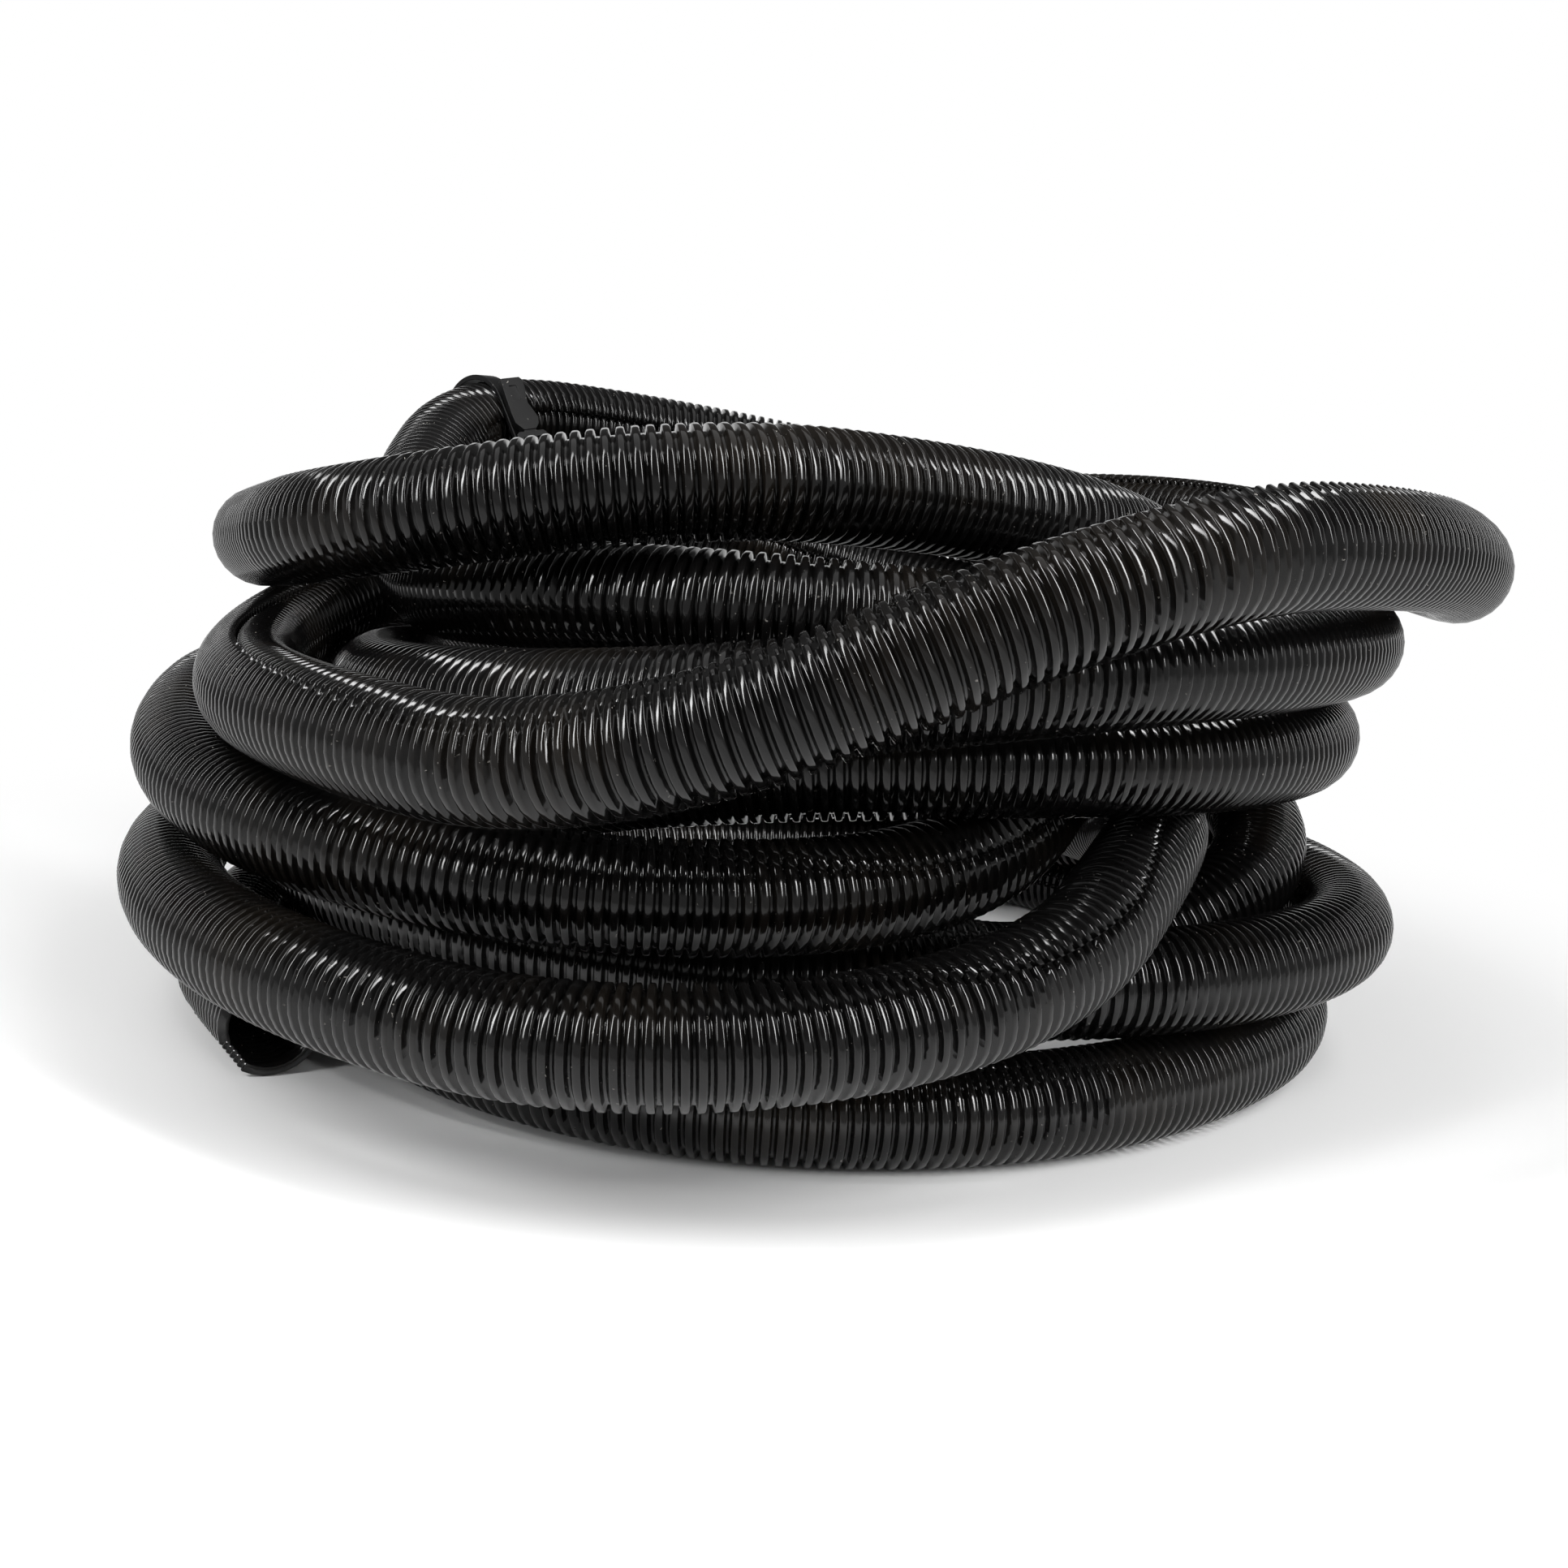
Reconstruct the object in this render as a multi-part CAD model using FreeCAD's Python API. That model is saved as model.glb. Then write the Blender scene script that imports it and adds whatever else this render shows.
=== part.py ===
import FreeCAD, Part
import math
import os

from FreeCAD import Vector

# Driving dimensions, in millimetres and degrees
hose_diameter = 30.0
rib_height = 1.7
wall_thickness = 1.0
rib_pitch = 3.6
rib_crest_share = 0.36
rib_flank_share = 0.16
end_rib_count = 10
end_sides = 18
slit_width = 1.6
lower_slit_side = 128.0
upper_slit_side = 20.0

# The pile: where the floor, the rows of hose and the tie are
coil_sides = 8
steps_per_arc = 1
floor_cut = hose_diameter / 10.0
row_height = 1.05 * hose_diameter
free_end_height = hose_diameter / 2.0 - 0.5
turn_clearance = 2.4
coil_lead = hose_diameter
tie_direction = 140.0
node_degrees = 30.0
steepest_share = 2.5

# How the turns settle beside and on each other
settling_rounds = 400
pair_rounds = 20
pair_margin = 8.0
same_turn_degrees = 200.0
drawn_back_rounds = 330
front_share = 0.95
back_share = 0.998
front_from_degrees = 190.0
front_to_degrees = 350.0
push_share = 1.2
neighbour_share = 0.08

# The releasable tie
strap_width = 7.6
strap_thickness = 1.8
strap_slack = 0.2
strap_floor_gap = 0.1
head_length = 14.0
head_width = 12.0
head_height = 7.5
head_drop = 17.0
head_bevel = 2.2
lever_length = 22.0
lever_width = 10.0
lever_waist = 7.4
lever_foot = 5.0
lever_thickness = 2.2
lever_recess = 0.6
# A row is (share of the lever's length, half width there)
lever_rows = [(0.0, lever_foot / 2.0), (0.16, lever_width / 2.0), (0.34, lever_width * 0.46),
              (0.62, lever_waist / 2.0), (0.9, lever_width * 0.43), (1.0, lever_width * 0.35)]
recess_start_share = 0.56
recess_length_share = 0.34
recess_width_share = 0.6
lever_clearance = 0.5
tail_length = 6.0
tail_thickness = 1.4
tail_gap = 1.4

# Each turn of the hose starts at the tie and runs clockwise seen from above.
# A row is (compass direction, reach from the middle in thirtieths of the hose's diameter, row above the
# floor). Direction 0 is the right side, 90 the back, 180 the left side and 270 the front, and row 0 lies
# on the floor.
turns = [
    ("start", [(230.5, 192, 0.08), (200, 181, 0.08), (180, 178, 0.08)]),
    ("first", [(140, 177, 0.17), (90, 180, 0), (45, 179, 0), (0, 172, 0), (300, 150, 0), (270, 149, 0),
               (200, 143, 0), (170, 143, 0)]),
    ("second", [(140, 145, 0.17), (90, 147, 0.10), (45, 165, 0.90), (0, 181, 1.03), (320, 158, 0.98),
                (300, 140, 0.95), (270, 135, 0.92), (180, 148, 1.03)]),
    ("third", [(140, 145, 1.12), (90, 147, 1.15), (45, 133, 1.33), (0, 117, 1.55), (345, 119, 1.9),
               (325, 132, 1.95), (300, 160, 1.4), (270, 209, 0.92), (180, 184, 1.03)]),
    ("fourth", [(140, 177, 1.12), (90, 178, 1.18), (45, 176, 1.86), (0, 166, 1.93), (345, 152, 1.2),
                (325, 122, 0.8), (300, 104, 0.92), (270, 100, 1.1), (180, 108, 1.4), (160, 124, 1.87),
                (150, 132, 2.12)]),
    ("fifth", [(140, 143, 2.14), (90, 147, 2.1), (45, 134, 2.32), (0, 116, 2.58), (345, 111, 2.78),
               (325, 110, 2.76), (300, 130, 2.2), (285, 150, 2.0), (270, 168, 1.94), (180, 191, 2.22),
               (166, 190, 2.36)]),
    ("sixth", [(140, 186, 2.04), (90, 180, 2.18), (45, 178, 2.85), (0, 166, 2.9), (300, 150, 3.05),
               (270, 145, 3.0), (250, 142, 2.6), (225, 136, 2.2), (210, 136, 2.05), (180, 136, 1.95),
               (170, 138, 2.3), (155, 149, 3.16)]),
    ("seventh", [(140, 173, 3.33), (90, 184, 3.2), (45, 178, 3.72), (0, 177, 3.82), (320, 178, 3.95),
                 (298, 182, 3.98), (285, 182, 3.72), (270, 182, 3.5), (255, 178, 3.3), (245, 172, 3.14),
                 (225, 155, 2.96), (210, 140, 2.88), (195, 124, 2.78), (180, 108, 2.62), (160, 124, 2.78)]),
    ("eighth", [(140, 141, 3.1), (115, 166, 3.5), (90, 182, 4.1), (45, 196, 4.7), (0, 198, 4.58),
                (335, 200, 4.74), (310, 206, 5.02), (294, 218, 4.92), (285, 226, 4.55), (270, 230, 3.64),
                (258, 225, 3.09), (245, 213, 2.9), (225, 192, 2.9), (200, 172, 2.8), (180, 158, 2.75),
                (170, 157, 3.1), (160, 154, 3.4), (150, 143, 3.6)]),
    ("ninth", [(140, 138, 3.95), (115, 138, 3.98), (90, 144, 3.6), (60, 142, 3.35), (45, 140, 3.3),
               (0, 132, 3.42), (300, 138, 3.9), (270, 141, 4.0), (250, 140, 3.92), (225, 130, 3.75),
               (210, 122, 3.65), (180, 124, 3.6), (170, 134, 4.25), (155, 150, 4.97)]),
    ("tenth", [(140, 160, 5.07), (90, 160, 4.85), (70, 152, 4.55), (45, 138, 4.35), (0, 116, 4.35),
               (320, 110, 4.72), (290, 114, 4.93), (270, 128, 4.97), (255, 153, 4.88), (240, 172, 4.55),
               (220, 174, 4.12), (195, 164, 3.78), (164, 185, 3.5)]),
]
first_degrees = -60.0
last_degrees = 9 * 360.0 + 300.0

tube_radius = hose_diameter / 2.0
hose_root_diameter = hose_diameter - 2.0 * rib_height
hose_bore = hose_root_diameter - 2.0 * wall_thickness
reach_unit = hose_diameter / 30.0
gap_step = hose_diameter / 8.0
gap_reach = 1.4 * hose_diameter
own_reach = 13.0 * hose_diameter
surface_step = wall_thickness / 10.0
floor_level = tube_radius - floor_cut
strap_level = tube_radius + strap_slack + strap_thickness + strap_floor_gap
end_length = end_rib_count * rib_pitch


def route_keys():
    """Return (angle travelled past the tie, reach, height) for every row of every turn."""
    keys = []
    for number, (name, rows) in enumerate(turns):
        turn_start = (number - 1) * 360.0
        for direction, reach, row in rows:
            travelled = turn_start + (tie_direction - direction) % 360.0
            keys.append((travelled, reach * reach_unit, floor_level + row * row_height))
    return keys


def slopes(places, values):
    """Return one slope per key, so that a cubic through the keys doesn't overshoot them."""
    count = len(places)
    rises = [(values[i + 1] - values[i]) / (places[i + 1] - places[i]) for i in range(count - 1)]
    result = [rises[0]]
    for i in range(1, count - 1):
        before, after = rises[i - 1], rises[i]
        if before * after <= 0.0:
            result.append(0.0)
            continue
        left, right = places[i] - places[i - 1], places[i + 1] - places[i]
        slope = (after * left + before * right) / (left + right)
        limit = steepest_share * min(abs(before), abs(after))
        result.append(math.copysign(min(abs(slope), limit), slope))
    result.append(rises[-1])
    return result


def cubic_value(places, values, tilts, place):
    i = 0
    while i < len(places) - 2 and places[i + 1] < place:
        i += 1
    span = places[i + 1] - places[i]
    t = (place - places[i]) / span
    return (values[i] * (1 + 2 * t) * (1 - t) ** 2 + tilts[i] * span * t * (1 - t) ** 2
            + values[i + 1] * t * t * (3 - 2 * t) + tilts[i + 1] * span * t * t * (t - 1))


def first_nodes():
    """Return the nodes of the route, one every node_degrees, and the angle of each."""
    keys = route_keys()
    places = [key[0] for key in keys]
    reaches = [key[1] for key in keys]
    heights = [key[2] for key in keys]
    reach_tilts = slopes(places, reaches)
    height_tilts = slopes(places, heights)
    travelled = math.ceil(places[0] / node_degrees) * node_degrees
    nodes, angles = [], []
    while travelled <= places[-1]:
        reach = cubic_value(places, reaches, reach_tilts, travelled)
        height = cubic_value(places, heights, height_tilts, travelled)
        direction = math.radians(tie_direction - travelled)
        nodes.append([reach * math.cos(direction), reach * math.sin(direction), height])
        angles.append(travelled)
        travelled += node_degrees
    return nodes, angles


def curve_points(nodes):
    """Return points along a smooth curve through the nodes, each with its node and share of the way on."""
    points = []
    for i in range(len(nodes) - 1):
        before, here, there, after = (nodes[max(i - 1, 0)], nodes[i], nodes[i + 1],
                                      nodes[min(i + 2, len(nodes) - 1)])
        for quarter in range(4):
            u = quarter / 4.0
            weights = (-u / 2 + u * u - u ** 3 / 2, 1 - 2.5 * u * u + 1.5 * u ** 3,
                       u / 2 + 2 * u * u - 1.5 * u ** 3, -u * u / 2 + u ** 3 / 2)
            x, y, z = (sum(w * p[k] for w, p in zip(weights, (before, here, there, after))) for k in range(3))
            points.append((x, y, z, i, u))
    return points


def near_pairs(points, reach):
    """Return the pairs of points of different turns that are nearer than reach."""
    skip = same_turn_degrees / node_degrees
    pairs = []
    for a, (ax, ay, az, ai, au) in enumerate(points):
        for b in range(a + 1, len(points)):
            bx, by, bz, bi, bu = points[b]
            if bi - ai < skip or abs(ax - bx) > reach or abs(ay - by) > reach:
                continue
            if math.dist((ax, ay, az), (bx, by, bz)) < reach:
                pairs.append((a, b))
    return pairs


def lowest_height(angle):
    """Return how low the hose's middle may be: on the floor, at the free end or over the strap."""
    if angle % 360.0 == 0.0:
        return strap_level
    return free_end_height if angle < 0.0 else floor_level


def settle(nodes, angles):
    """Move the nodes apart until the turns lie beside and on each other without touching."""
    want = hose_diameter + turn_clearance
    start = [list(node) for node in nodes]
    shift = [[0.0, 0.0, 0.0] for node in nodes]
    pairs = []
    for turn in range(settling_rounds):
        points = curve_points([[start[i][k] + shift[i][k] for k in range(3)] for i in range(len(start))])
        if turn % pair_rounds == 0:
            pairs = near_pairs(points, want + pair_margin)
        push = [[0.0, 0.0, 0.0, 0.0] for node in nodes]
        for a, b in pairs:
            ax, ay, az, ai, au = points[a]
            bx, by, bz, bi, bu = points[b]
            apart = math.dist((ax, ay, az), (bx, by, bz))
            if apart >= want:
                continue
            half = (want - apart) / 2.0 / max(apart, 1e-6)
            step = ((ax - bx) * half, (ay - by) * half, (az - bz) * half)
            for owner, weight, sign in ((ai, 1 - au, 1), (ai + 1, au, 1), (bi, 1 - bu, -1), (bi + 1, bu, -1)):
                for k in range(3):
                    push[owner][k] += sign * weight * step[k]
                push[owner][3] += weight
        for i, moved in enumerate(push):
            for k in range(3):
                shift[i][k] += push_share * moved[k] / max(moved[3], 1.0)
        old = [list(s) for s in shift]
        for i in range(1, len(shift) - 1):
            for k in range(3):
                shift[i][k] = ((1.0 - 2.0 * neighbour_share) * old[i][k]
                               + neighbour_share * (old[i - 1][k] + old[i + 1][k]))
        for i in range(len(shift)):
            if turn < drawn_back_rounds:
                direction = (tie_direction - angles[i]) % 360.0
                share = front_share if front_from_degrees <= direction <= front_to_degrees else back_share
                shift[i] = [share * value for value in shift[i]]
            shift[i][2] = max(shift[i][2], lowest_height(angles[i]) - start[i][2])
    return [[start[i][k] + shift[i][k] for k in range(3)] for i in range(len(start))]


def circle_tangent(before, here, after):
    """Return the direction at here of the circle through three points."""
    back, ahead = here - before, after - here
    tangent = back * (1.0 / back.Length ** 2) + ahead * (1.0 / ahead.Length ** 2)
    return tangent.normalize()


def stations(nodes, angles):
    """Return the coil's stations with the direction of the hose at each."""
    first = angles.index(first_degrees)
    last = angles.index(last_degrees)
    result = []
    for i in range(first, last + 1):
        here = Vector(*nodes[i])
        if i == first:
            tangent = here - Vector(*nodes[i - 1])
            tangent.z = 0.0
            tangent.normalize()
        elif i == last:
            tangent = (Vector(*nodes[i + 1]) - here).normalize()
        else:
            tangent = circle_tangent(Vector(*nodes[i - 1]), here, Vector(*nodes[i + 1]))
        result.append((here, tangent))
    return result


def arc_middle(start, corner, end):
    """Return the middle point of the arc that touches both lines of a corner."""
    side = (corner - start).Length
    share = (end - start).Length / 2.0 / side
    return (start + corner * (2.0 * share) + end) * (1.0 / (2.0 + 2.0 * share))


def two_arcs(start, start_tangent, end, end_tangent):
    """Return the corner points of the two arcs that join two stations smoothly."""
    chord = end - start
    both = start_tangent + end_tangent
    bend = 2.0 * (1.0 - start_tangent.dot(end_tangent))
    along = chord.dot(both)
    if bend < 1e-9:
        reach = chord.dot(chord) / (4.0 * chord.dot(end_tangent))
    else:
        reach = (-along + math.sqrt(along * along + bend * chord.dot(chord))) / bend
    first_corner = start + start_tangent * reach
    second_corner = end - end_tangent * reach
    return first_corner, (first_corner + second_corner) * 0.5, second_corner


def path_edges(route):
    """Return the arcs of the hose's middle line, with a straight lead at both ends."""
    start, start_tangent = route[0]
    end, end_tangent = route[-1]
    edges = [Part.LineSegment(start - start_tangent * coil_lead, start).toShape()]
    for (here, tangent), (there, next_tangent) in zip(route, route[1:]):
        corner, joint, next_corner = two_arcs(here, tangent, there, next_tangent)
        edges.append(Part.Arc(here, arc_middle(here, corner, joint), joint).toShape())
        edges.append(Part.Arc(joint, arc_middle(joint, next_corner, there), there).toShape())
    edges.append(Part.LineSegment(end, end + end_tangent * coil_lead).toShape())
    return edges


def least_gap(edges):
    """Return the least gap between two turns, measured on points along the middle line."""
    points, travelled = [], 0.0
    for edge in edges:
        count = max(2, int(edge.Length / gap_step))
        for i in range(count):
            point = edge.valueAt(edge.FirstParameter + (edge.LastParameter - edge.FirstParameter) * i / count)
            points.append((point.x, point.y, point.z, travelled + edge.Length * i / count))
        travelled += edge.Length
    best, place = 1e9, None
    for a, (ax, ay, az, at) in enumerate(points):
        for bx, by, bz, bt in points[a + 1:]:
            if bt - at < own_reach or abs(ax - bx) > gap_reach or abs(ay - by) > gap_reach:
                continue
            apart = math.dist((ax, ay, az), (bx, by, bz))
            if apart < best:
                best, place = apart, (round(ax), round(ay), round(az), round(at), round(bt))
    return best - hose_diameter, place


def side_of(tangent):
    """Return a direction square to the hose that lies level."""
    return Vector(-tangent.y, tangent.x, 0.0).normalize()


def below_floor():
    return Part.makeBox(1000.0, 1000.0, 50.0, Vector(-500.0, -500.0, -50.0))


def ring_of(middle, tangent, radius, sides):
    """Return a closed outline with flat sides round the middle, square to the tangent."""
    level = side_of(tangent)
    upright = tangent.cross(level)
    corners = []
    for i in range(sides + 1):
        turn = 2.0 * math.pi * (i + 0.5) / sides
        corners.append(middle + level * (radius * math.cos(turn)) + upright * (radius * math.sin(turn)))
    return Part.makePolygon(corners)


def make_coil(route):
    """Return the hose's plain coil: a tube with flat sides, cut flat where it lies on the floor."""
    edges = path_edges(route)
    gap, place = least_gap(edges)
    length = sum(edge.Length for edge in edges)
    tightest = min(edge.Curve.Radius for edge in edges[1:-1])
    print("hose in the coil %.0f mm, least gap %.2f mm at %s, tightest bend %.0f mm"
          % (length, gap, place, tightest))
    start, start_tangent = route[0]
    end, end_tangent = route[-1]
    rings = [ring_of(start - start_tangent * coil_lead, start_tangent, tube_radius, coil_sides)]
    for edge in edges[1:-1]:
        for i in range(steps_per_arc):
            place = edge.FirstParameter + (edge.LastParameter - edge.FirstParameter) * i / steps_per_arc
            tangent = Vector(*edge.tangentAt(place))
            rings.append(ring_of(edge.valueAt(place), tangent, tube_radius, coil_sides))
    rings.append(ring_of(end, end_tangent, tube_radius, coil_sides))
    rings.append(ring_of(end + end_tangent * coil_lead, end_tangent, tube_radius, coil_sides))
    return Part.makeLoft(rings, True, True).cut(below_floor())


def ribbed_tube(slit_side):
    """Return the ribbed tube on the X axis: trapezoid ribs, a bore and a lengthwise slit."""
    crest, root = hose_diameter / 2.0, hose_root_diameter / 2.0
    flank = rib_pitch * rib_flank_share
    top = rib_pitch * rib_crest_share
    rings = []
    for rib in range(end_rib_count):
        for along, radius in ((0.0, root), (flank, crest), (flank + top, crest), (2.0 * flank + top, root)):
            middle = Vector(rib * rib_pitch + along, 0, 0)
            rings.append(ring_of(middle, Vector(1, 0, 0), radius, end_sides))
    rings.append(ring_of(Vector(end_length, 0, 0), Vector(1, 0, 0), root, end_sides))
    outside = Part.makeLoft(rings, True, True)
    bore = Part.makeCylinder(hose_bore / 2.0, end_length + 2.0, Vector(-1, 0, 0), Vector(1, 0, 0))
    slit = Part.makeBox(end_length + 2.0, slit_width, hose_diameter, Vector(-1, -slit_width / 2.0, 0))
    slit.rotate(Vector(0, 0, 0), Vector(1, 0, 0), slit_side)
    return outside.cut(bore).cut(slit)


def make_end(place, tangent, slit_side):
    """Put a ribbed end against the coil's flat end at place, running out along tangent."""
    level = side_of(tangent)
    upright = tangent.cross(level)
    tube = ribbed_tube(slit_side)
    tube.transformShape(FreeCAD.Matrix(tangent.x, level.x, upright.x, place.x,
                                       tangent.y, level.y, upright.y, place.y,
                                       tangent.z, level.z, upright.z, place.z,
                                       0, 0, 0, 1))
    return tube.cut(below_floor())


outward = Vector(math.cos(math.radians(tie_direction)), math.sin(math.radians(tie_direction)), 0.0)
sideways = Vector(outward.y, -outward.x, 0.0)
upward = Vector(0.0, 0.0, 1.0)


def outer_corners(points):
    """Return the corners of the smallest convex outline round the points, counterclockwise."""
    ordered = sorted(points)

    def half(sequence):
        corners = []
        for point in sequence:
            while len(corners) > 1:
                (ax, ay), (bx, by) = corners[-2], corners[-1]
                if (bx - ax) * (point[1] - ay) - (by - ay) * (point[0] - ax) > 0:
                    break
                corners.pop()
            corners.append(point)
        return corners[:-1]

    return half(ordered) + half(reversed(ordered))


def in_tie_plane(reach, height):
    return outward * reach + upward * height


def edge_normals(corners):
    """Return the outward normal of the line that leaves each corner."""
    normals = []
    for i, here in enumerate(corners):
        there = corners[(i + 1) % len(corners)]
        line = in_tie_plane(there[0] - here[0], there[1] - here[1]).normalize()
        normals.append(outward * line.z - upward * line.dot(outward))
    return normals


def band_wire(corners, radius):
    """Return the closed outline that runs round every corner at the given distance."""
    normals = edge_normals(corners)
    edges = []
    for i, corner in enumerate(corners):
        here = in_tie_plane(*corner)
        there = in_tie_plane(*corners[(i + 1) % len(corners)])
        before, after = normals[i - 1], normals[i]
        middle = (before + after).normalize()
        bend = Part.Arc(here + before * radius, here + middle * radius, here + after * radius)
        edges.append(bend.toShape())
        edges.append(Part.LineSegment(here + after * radius, there + after * radius).toShape())
    return Part.Wire(edges)


def tie_block(size, corner):
    """Return a box in the tie head's frame: out of the hose, sideways and up along the head."""
    return Part.makeBox(size[0], size[1], size[2], Vector(*corner))


def place_on_tie(shape, corners):
    """Put a shape made in the head's frame on the strap's run that goes down inside the pile."""
    number = max(range(len(corners)), key=lambda i: corners[i][1])
    top, below = in_tie_plane(*corners[number]), in_tie_plane(*corners[(number + 1) % len(corners)])
    along = (top - below).normalize()
    out = edge_normals(corners)[number]
    across = along.cross(out)
    place = top + out * (tube_radius + strap_slack) - along * head_drop
    shape.transformShape(FreeCAD.Matrix(out.x, across.x, along.x, place.x, out.y, across.y, along.y, place.y,
                                        out.z, across.z, along.z, place.z, 0, 0, 0, 1))
    return shape


def make_strap(corners):
    """Return the strap round the whole bundle."""
    inner_radius = tube_radius + strap_slack
    outer = Part.Face(band_wire(corners, inner_radius + strap_thickness))
    inner = Part.Face(band_wire(corners, inner_radius))
    ring = outer.cut(inner)
    ring.translate(sideways * (-strap_width / 2.0))
    return ring.extrude(sideways * strap_width)


def make_head(corners):
    """Return the head: a bevelled block that grips the strap, with the strap's cut tail below it."""
    block = tie_block((head_height, head_width, head_length), (0, -head_width / 2.0, -head_length))
    corner = Vector(head_height, -head_width / 2.0, -head_length)
    first, second = corner - Vector(head_bevel, 0, 0), corner + Vector(0, 0, head_bevel)
    wedge = Part.Face(Part.makePolygon([first, corner, second, first])).extrude(Vector(0, head_width, 0))
    tail = tie_block((tail_thickness, strap_width, tail_length),
                     (strap_thickness + tail_gap, -strap_width / 2.0, -head_length - tail_length))
    return place_on_tie(block.cut(wedge).fuse(tail), corners)


def make_lever(corners):
    """Return the release lever: a waisted tab with a shallow thumb recess."""
    face = head_height - lever_thickness
    rows = [(lever_clearance + share * (lever_length - lever_clearance), half) for share, half in lever_rows]
    outline = [Vector(face, -half, along) for along, half in rows]
    outline += [Vector(face, half, along) for along, half in reversed(rows)]
    outline.append(outline[0])
    tab = Part.Face(Part.makePolygon(outline)).extrude(Vector(lever_thickness, 0, 0))
    recess_width = lever_waist * recess_width_share
    recess = tie_block((lever_recess * 2.0, recess_width, lever_length * recess_length_share),
                       (head_height - lever_recess, -recess_width / 2.0, lever_length * recess_start_share))
    return place_on_tie(tab.cut(recess), corners)


def hinge_line(corners):
    """Return both ends of the line about which the lever bends."""
    along = head_height - lever_thickness / 2.0
    line = Part.makeLine(Vector(along, -lever_foot / 2.0, 0), Vector(along, lever_foot / 2.0, 0))
    return [vertex.Point for vertex in place_on_tie(line, corners).Vertexes]


def box_of(shapes):
    """Return the low and the high corner of the shapes, measured on their surfaces."""
    points = [point for shape in shapes for point in shape.tessellate(surface_step)[0]]
    low = Vector(min(p.x for p in points), min(p.y for p in points), min(p.z for p in points))
    high = Vector(max(p.x for p in points), max(p.y for p in points), max(p.z for p in points))
    return low, high


def show(name, place, direction):
    print("%s at %s mm, direction %s" % (name, [round(value, 2) for value in place],
                                         [round(value, 5) for value in direction]))


os.makedirs("parts", exist_ok=True)
nodes, angles = first_nodes()
route = stations(settle(nodes, angles), angles)
crossings = [(here.dot(outward), here.z) for here, tangent in route
             if abs(here.dot(sideways)) < hose_diameter / 2.0 and here.dot(outward) > 0.0]
corners = outer_corners(crossings)
start, start_tangent = route[0]
end, end_tangent = route[-1]

coil = make_coil(route)
lower_end = make_end(start - start_tangent * coil_lead, start_tangent * -1.0, lower_slit_side)
upper_end = make_end(end + end_tangent * coil_lead, end_tangent, upper_slit_side)
head = make_head(corners)
parts = {"hose_coil": coil, "hose_end_lower": lower_end, "hose_end_upper": upper_end,
         "tie_strap": make_strap(corners).cut(head), "tie_head": head,
         "tie_release_lever": make_lever(corners)}
low, high = box_of(parts.values())
centring = Vector(-(low.x + high.x) / 2.0, -(low.y + high.y) / 2.0, 0.0)
for name, shape in parts.items():
    shape.translate(centring)
    shape.exportStep("parts/%s.step" % name)
    print(name, "valid", shape.isValid(), "solids", len(shape.Solids), "volume %.0f mm3" % shape.Volume)

print("whole box %s to %s, moved by %s" % (low, high, centring))
lower_mouth = start - start_tangent * (coil_lead + end_length) + centring
upper_mouth = end + end_tangent * (coil_lead + end_length) + centring
show("lower mouth", lower_mouth, start_tangent * -1.0)
show("upper mouth", upper_mouth, end_tangent)
foot, far_foot = hinge_line(corners)
show("lever hinge", (foot + far_foot) * 0.5 + centring, (far_foot - foot).normalize())
for number in range(len(route)):
    here, tangent = route[number]
    if here.z < floor_level + surface_step:
        show("rests on the floor", Vector(here.x, here.y, 0.0) + centring, upward * -1.0)
        break
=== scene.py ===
import bmesh
import bpy
import math
from mathutils import Matrix, Vector


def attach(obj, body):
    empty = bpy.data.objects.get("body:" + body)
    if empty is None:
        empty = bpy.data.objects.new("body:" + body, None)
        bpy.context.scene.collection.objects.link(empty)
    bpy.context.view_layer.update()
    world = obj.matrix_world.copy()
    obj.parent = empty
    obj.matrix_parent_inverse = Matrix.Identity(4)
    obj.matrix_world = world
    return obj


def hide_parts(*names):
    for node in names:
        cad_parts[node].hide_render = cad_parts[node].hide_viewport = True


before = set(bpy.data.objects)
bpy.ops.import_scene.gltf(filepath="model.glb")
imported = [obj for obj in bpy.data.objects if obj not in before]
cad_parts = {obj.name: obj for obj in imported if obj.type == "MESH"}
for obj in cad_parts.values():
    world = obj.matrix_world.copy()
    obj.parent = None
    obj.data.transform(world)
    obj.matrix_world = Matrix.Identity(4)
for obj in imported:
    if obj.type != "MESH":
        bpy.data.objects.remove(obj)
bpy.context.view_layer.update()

# Sizes of the hose, in metres
hose_diameter = 0.030
hose_bore = 0.0246
rib_height = 0.0020
wall_thickness = 0.0009
rib_pitch = 0.0036
sides_around = 26
hose_lengths = 20
tube_radius = hose_diameter / 2.0
inner_wall_radius = hose_bore / 2.0 - wall_thickness
upper_wall_depth = 0.012
lower_wall_depth = 0.062
lower_wall_lead = 0.004

# A rib's outline over one pitch, from groove to groove.
# A point is (share of the pitch, share of the rib's height below the crest).
rib_outline = [(0.0, 1.0), (0.165, 1.0), (0.25, 0.14), (0.285, 0.065), (0.35, 0.018), (0.43, 0.0),
               (0.57, 0.0), (0.65, 0.018), (0.715, 0.065), (0.75, 0.14), (0.835, 1.0)]

# The slit: its least gap, how close to it the wall starts to lift, and how far the lower edge sinks
slit_gap_radians = 0.0002
slit_edge_sharpness = 9.0
slit_sunk_share = 0.35

# The pile: rows of hose above the floor and the place of the tie
row_height = 0.0315
first_row = 0.012
floor_level = tube_radius + 0.0001
turn_clearance = 0.0024
coil_lead = 0.030
ribbed_end = 0.036
tie_direction = 140.0
node_degrees = 30.0
steepest_share = 2.5
strap_level = tube_radius + 0.0021
pile_centre = Vector((-0.003865, 0.018223, 0.0))

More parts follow.
